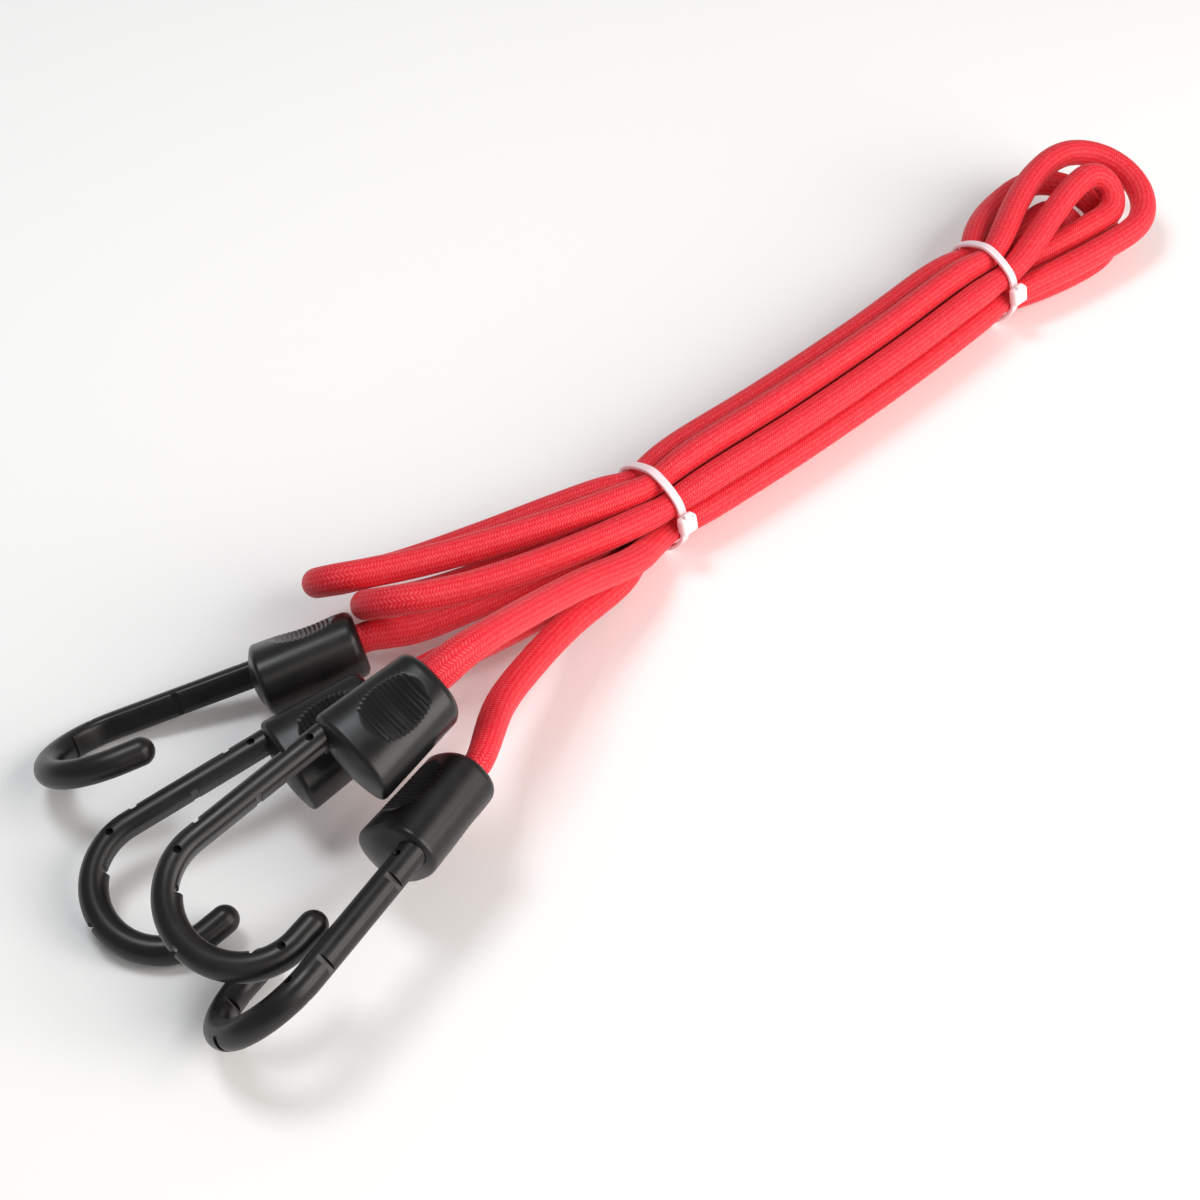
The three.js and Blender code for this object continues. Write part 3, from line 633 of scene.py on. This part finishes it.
def barrelShape():
    length, edge, hookEdge = barrel["length"], barrel["edge"], barrel["hookEdge"]
    quarter = np.radians(np.linspace(0, 90, 10))
    cordEnd = [(edge * (1 - math.cos(t)), edge * (1 - math.sin(t))) for t in quarter]
    bodyEnd = length - barrel["domeStart"] - hookEdge
    body = [(x, 0) for x in np.arange(edge, bodyEnd, barrel["step"])[1:]]
    turned = np.radians(np.linspace(0, 70, 8))
    hookEnd = [(bodyEnd + hookEdge * math.sin(t), hookEdge * (1 - math.cos(t))) for t in turned]
    rings = [barrelSection(x, inset) for x, inset in [*cordEnd, *body, *hookEnd]]
    rim = rings[-1]
    centre = rim.mean(axis=0)
    for share in barrel["domeShares"]:
        rings.append(centre + (rim - centre) * share + np.array([barrel["dome"] * (1 - share ** 2), 0, 0]))
    solid = linkObject("barrelBlank", gridMesh("barrelBlank", rings))
    outside, step = 1.0, 0.01  # mm that a cut starts before the mouth, and between two radii
    bore, lip, sleeve = barrel["bore"], barrel["lip"], cord["inBarrel"][0]
    rounded = [(lip * (1 - math.sin(t)), bore + lip * (1 - math.cos(t))) for t in quarter[::-1]]
    mouth = [(-outside, bore + lip), *rounded, (sleeve, bore), (sleeve + step, barrel["pocketRadius"]),
             (barrel["pocketEnd"], barrel["pocketRadius"])]
    spare, headRoom = barrel["wireRoom"], hook["wireHeadRadius"] + barrel["wireRoom"]
    room = [(hook["wireStart"] - spare, headRoom), (hook["coatStart"], headRoom)]
    socket = coatRings(hook["coatStart"] - spare, length + 2 * barrel["dome"], hook["seam"])
    cuts = [lathed("mouth", mouth), lathed("wireRoom", room, centreY=-hook["shankOffset"]),
            linkObject("socket", gridMesh("socket", socket))]
    return carved(solid, cuts, "barrelShape")


# straight stretch of the coat's section, round outside and flat on the bow's side
def coatRings(start, end, extra):
    turn = np.arange(hook["sides"]) * 2 * math.pi / hook["sides"]
    radius = hook["coatRadius"] + extra
    inward = softMin(radius * np.cos(turn), hook["innerReach"] + extra, hook["fillet"])
    return [np.column_stack([np.full(len(turn), x), inward - hook["shankOffset"], radius * np.sin(turn)])
            for x in (start, end)]


def bowPlace(angle, inward=0.0):
    centre = Vector((barrel["length"] + hook["shankLength"], hook["bowRadius"] - hook["shankOffset"], 0))
    turn = Matrix.Rotation(math.radians(angle), 4, "Z")
    return Matrix.Translation(centre) @ turn @ Matrix.Translation((0, inward - hook["bowRadius"], 0))


def shankPlace(distance, inward=0.0):
    return Matrix.Translation((barrel["length"] + distance, inward - hook["shankOffset"], 0))


def coatShape():
    shankEnd = barrel["length"] + hook["shankLength"]
    straight = [Vector((x, -hook["shankOffset"], 0))
                for x in np.arange(hook["coatStart"], shankEnd, hook["step"])]
    turns = np.linspace(0, hook["bowSweep"], int(hook["bowSweep"] / hook["bowStep"]))
    bow = [bowPlace(t).translation for t in turns]
    swept = math.radians(hook["bowSweep"])
    onward = Vector((math.cos(swept), math.sin(swept), 0))
    reach = hook["tipLength"] - hook["coatRadius"]
    tip = [bow[-1] + onward * d for d in np.arange(hook["step"], reach, hook["step"])]
    capTurns = np.radians(np.linspace(0, 88, 14))
    cap = [bow[-1] + onward * (reach + hook["coatRadius"] * math.sin(t)) for t in capTurns]
    line = np.array([*straight, *bow, *tip, *cap])
    radii = np.full(len(line), hook["coatRadius"])
    radii[-len(cap):] = hook["coatRadius"] * np.cos(capTurns)
    tube = tubeAlong("coatTube", line * mm, radii * mm, hook["sides"], blackPlastic)
    flattenInside(tube.data, shankEnd)
    cuts = []
    for places, where in ((hook["shankNotches"], shankPlace), (hook["bowNotches"], bowPlace)):
        for at, side in places:
            flat = side == "inner" and (where is shankPlace or at <= hook["flatEnd"])
            floor = (hook["wireRadius"] + hook["overWire"] if flat
                     else hook["coatRadius"] - hook["notchDepth"])
            shift = (floor + hook["coatRadius"]) * (1 if side == "inner" else -1)
            size = (hook["notchWidth"], 2 * hook["coatRadius"], hook["notchSpan"] * hook["coatRadius"])
            middle = where(at) @ Matrix.Translation((0, shift, 0))
            cuts.append(blockOf("notch", size, middle, hook["notchRound"]))
    for places, where in ((hook["shankPins"], shankPlace), (hook["bowPins"], bowPlace)):
        for at, inward in places:
            cuts += [pinHole(where(at, inward), face) for face in (1, -1)]
    return carved(tube, cuts, "coatShape")


def pinHole(place, face):
    depth, radius = hook["coatRadius"], hook["pinRadius"] * mm
    lift = Matrix.Translation((0, 0, face * (hook["wireRadius"] - hook["intoWire"] + depth / 2)))
    shape = bmesh.new()
    bmesh.ops.create_cone(shape, cap_ends=True, segments=hook["pinSides"], radius1=radius, radius2=radius,
                          depth=depth * mm, matrix=inMetres(place @ lift))
    return fromShape("pinHole", shape)


# the coat is flat inside the shank and the start of the bow, up to the first notch in the bow
def flattenInside(mesh, shankEnd):
    points = np.empty(len(mesh.vertices) * 3)
    mesh.vertices.foreach_get("co", points)
    points = points.reshape(-1, 3) / mm
    centreY = hook["bowRadius"] - hook["shankOffset"]
    arm = points[:, :2] - np.array([shankEnd, centreY])
    far = np.linalg.norm(arm, axis=1)
    onShank = (arm[:, 0] <= 0) & (points[:, 1] < 0)
    onBow = (arm[:, 0] > 0) & (np.degrees(np.arctan2(arm[:, 0], -arm[:, 1])) < hook["flatEnd"])
    inward = np.where(onShank, points[:, 1] + hook["shankOffset"], hook["bowRadius"] - far)
    moved = softMin(inward, hook["innerReach"], hook["fillet"]) - inward
    points[onShank, 1] += moved[onShank]
    points[onBow, :2] -= (arm / far[:, None] * moved[:, None])[onBow]
    mesh.vertices.foreach_set("co", (points * mm).ravel())


def placedCopy(shape, name, place, finish, sharp):
    mesh = shape.data.copy()
    mould = np.empty(len(mesh.vertices) * 3)
    mesh.vertices.foreach_get("co", mould)
    if "braid" in mesh.attributes:
        mesh.attributes.remove(mesh.attributes["braid"])
    mesh.attributes.new("mould", "FLOAT_VECTOR", "POINT").data.foreach_set("vector", mould)
    mesh.transform(inMetres(place))
    mesh.materials.clear()
    mesh.materials.append(finish)
    mesh.shade_smooth()
    mesh.set_sharp_from_angle(angle=math.radians(sharp))
    return linkObject(name, mesh)


barrelBlank, coatBlank = barrelShape(), coatShape()
for number, end in cordEnds.items():
    for blank, name, node in ((barrelBlank, "barrel", "barrel"), (coatBlank, "hookCoat", "hook_coat")):
        piece = placedCopy(blank, f"{name}_{number}", hookPlace(end), blackPlastic, hook["sharpAngle"])
        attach(piece, f"hook_{number}")
        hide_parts(f"{node}_{number}")
for blank in (barrelBlank, coatBlank):
    bpy.data.objects.remove(blank)
print("hook ends made")

# cable ties: a strap drawn tight round the seven outer runs, with its locking head

tieFinish = {"edge": 0.22, "edgeCut": 0.3, "arcPoints": 12, "flatPoints": 7, "ease": 0.6,
             "chamfer": 1.0, "proud": 0.4, "slotGap": 0.35, "slotDepth": 1.2, "stubEdge": 0.15,
             "sharpAngle": 35}


def fromCentre(angle):
    return np.array([math.cos(angle), math.sin(angle)])


# stiff nylon bends more evenly than the runs under it, and lies flat on the floor
def easedOut(seat):
    ring = tiedRing + tiedRadius + cord["clearance"]
    across, up = seat * (1 + tieFinish["ease"] * (ring / np.linalg.norm(seat) - 1))
    return np.array([across, max(up, tie["thickness"] - tiedHeight)])


def strapMesh():
    inner = tiedRadius + cord["clearance"]
    seats, outs = [], []
    for slot in range(outerRuns):
        angle = math.pi / 2 + 2 * halfSlot * slot
        arm, nextArm = fromCentre(angle) * tiedRing, fromCentre(angle + 2 * halfSlot) * tiedRing
        for turn in np.linspace(angle - halfSlot, angle + halfSlot, tieFinish["arcPoints"]):
            outs.append(fromCentre(turn))
            seats.append(easedOut(arm + inner * outs[-1]))
        for share in np.linspace(0, 1, tieFinish["flatPoints"])[1:-1]:
            outs.append(fromCentre(angle + halfSlot))
            seats.append(easedOut(arm + (nextArm - arm) * share + inner * outs[-1]))
    side, top, edge = tie["width"] / 2, tie["thickness"], tieFinish["edge"]
    cut = tieFinish["edgeCut"] * edge
    right = [(side - edge, 0), (side - cut, cut), (side, edge),
             (side, top - edge), (side - cut, top - cut), (side - edge, top)]
    section = [*right, *((-x, rise) for x, rise in right[::-1])]
    rings = [np.array([(x, *(seat + out * rise)) for x, rise in section]) for seat, out in zip(seats, outs)]
    return gridMesh("strap", rings, wrap=True)


def tiePiece(name):
    strap = linkObject("strap", strapMesh())
    headAngle = math.pi / 2 + 3 * halfSlot
    flat = easedOut(np.array([tiedRing * math.cos(halfSlot) + tiedRadius + cord["clearance"], 0]))[0]
    seat = Matrix.Rotation(headAngle, 4, "X") @ Matrix.Translation((0, flat + tie["thickness"] / 4, 0))
    proud = tieFinish["proud"]
    head = blockOf("head", (tie["headAcross"] + 2 * proud, tie["headHeight"], tie["headAlong"] + 2 * proud),
                   seat @ Matrix.Translation((0, tie["headHeight"] / 2, 0)), tieFinish["chamfer"])
    slotSize = (tie["width"] + tieFinish["slotGap"], tie["thickness"] + tieFinish["slotGap"],
                tieFinish["slotDepth"])
    exits = [seat @ Matrix.Translation((0, 2 * tie["thickness"], side * (tie["headAlong"] / 2 + proud)))
             for side in (-1, 1)]
    head = carved(head, [blockOf("slot", slotSize, place) for place in exits], "headCut")
    stub = blockOf("stub", (tie["width"], tie["thickness"], 2 * tie["stub"]), exits[0], tieFinish["stubEdge"])
    whole = bmesh.new()
    for part in (strap, head, stub):
        whole.from_mesh(part.data)
        bpy.data.objects.remove(part)
    return fromShape(name, whole)


for number, at in (("1", 0), ("2", tie["spacing"])):
    blank = tiePiece("tieBlank")
    place = Matrix.Translation(Vector(layoutPlace) + Vector((at, 0, tiedHeight)))
    piece = placedCopy(blank, f"cableTie_{number}", place, whiteNylon, tieFinish["sharpAngle"])
    bpy.data.objects.remove(blank)
    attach(piece, "hank")
    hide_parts(f"cable_tie_{number}")
print("ties drawn tight")

# pale floor and soft studio light

studio = {
    "floor": (0.97, 0.97, 0.97), "floorRoughness": 0.9, "floorReach": 3000,
    "sky": 0.31,
    "front": {"place": (350, -1100, 720), "size": 1200, "watts": 21.5, "colour": (1, 0.95, 0.9)},
    "top": {"place": (-150, 290, 950), "size": 320, "watts": 3.3, "colour": (0.93, 0.97, 1)},
}


def addStudio():
    reach = studio["floorReach"] * mm
    corners = [(x * reach, y * reach, 0) for x, y in ((-1, -1), (1, -1), (1, 1), (-1, 1))]
    mesh = bpy.data.meshes.new("floor")
    mesh.from_pydata(corners, [], [(0, 1, 2, 3)])
    floor = linkObject("floor", mesh)
    material, _, shader = newMaterial("paleFloor")
    shader.inputs["Base Color"].default_value = (*studio["floor"], 1)
    shader.inputs["Roughness"].default_value = studio["floorRoughness"]
    mesh.materials.append(material)
    world = bpy.data.worlds.new("studioSky")
    world.use_nodes = True
    sky = world.node_tree.nodes["Background"].inputs
    sky["Color"].default_value = (1, 1, 1, 1)
    sky["Strength"].default_value = studio["sky"]
    bpy.context.scene.world = world
    bpy.context.scene.view_settings.view_transform = "Standard"
    for name in ("front", "top"):
        box = studio[name]
        lamp = bpy.data.lights.new(name + "Softbox", "AREA")
        lamp.size = box["size"] * mm
        lamp.energy = box["watts"]
        lamp.color = box["colour"]
        light = linkObject(name + "Softbox", lamp)
        light.location = Vector(box["place"]) * mm
        light.rotation_euler = (-light.location).to_track_quat("-Z", "Y").to_euler()


addStudio()
print("studio lit")
